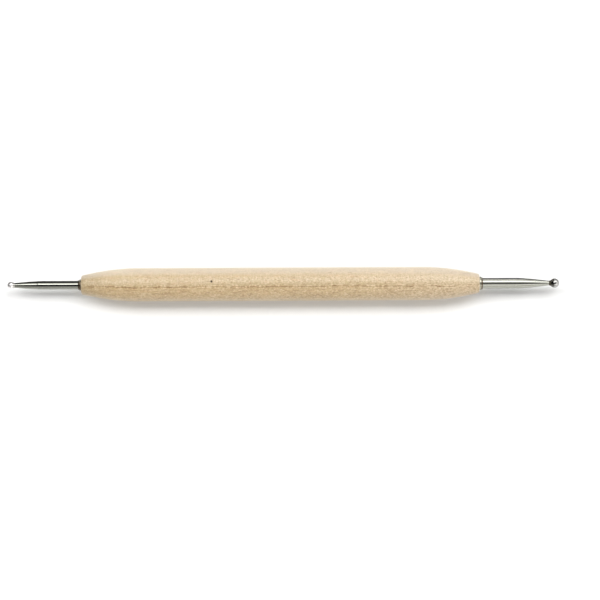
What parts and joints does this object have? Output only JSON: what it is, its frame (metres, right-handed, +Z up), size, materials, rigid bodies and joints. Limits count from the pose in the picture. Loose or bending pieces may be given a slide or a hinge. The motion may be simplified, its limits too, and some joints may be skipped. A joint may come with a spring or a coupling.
{
  "type": "clay modeling tool",
  "caption": "Ball stylus for shaping clay: a turned wooden handle with a tapered steel shank at either end, each tipped with a small steel ball.",
  "frame": {"origin": "on the surface that the tool lies on, under the middle of its overall length", "axes": "+X along the tool's axis towards the large ball, -X towards the small ball, +Z up from the surface; the axis is 5 mm up"},
  "size_m": [0.1666, 0.01, 0.01],
  "materials": {
    "wood": "sanded pale hardwood, satin",
    "shank_steel": "finely turned and polished",
    "ball_steel": "polished",
    "collar_steel": "turned, slightly dulled",
    "braze": "dull, a little darkened by heat",
    "glue": "set adhesive, out of sight in the bore"
  },
  "bodies": {
    "root": {"handle": "wood", "small_shank": "shank_steel", "small_ball": "ball_steel", "small_braze": "braze", "small_collar": "collar_steel", "small_glue": "glue", "large_shank": "shank_steel", "large_ball": "ball_steel", "large_braze": "braze", "large_collar": "collar_steel", "large_glue": "glue"}
  },
  "joints": []
}
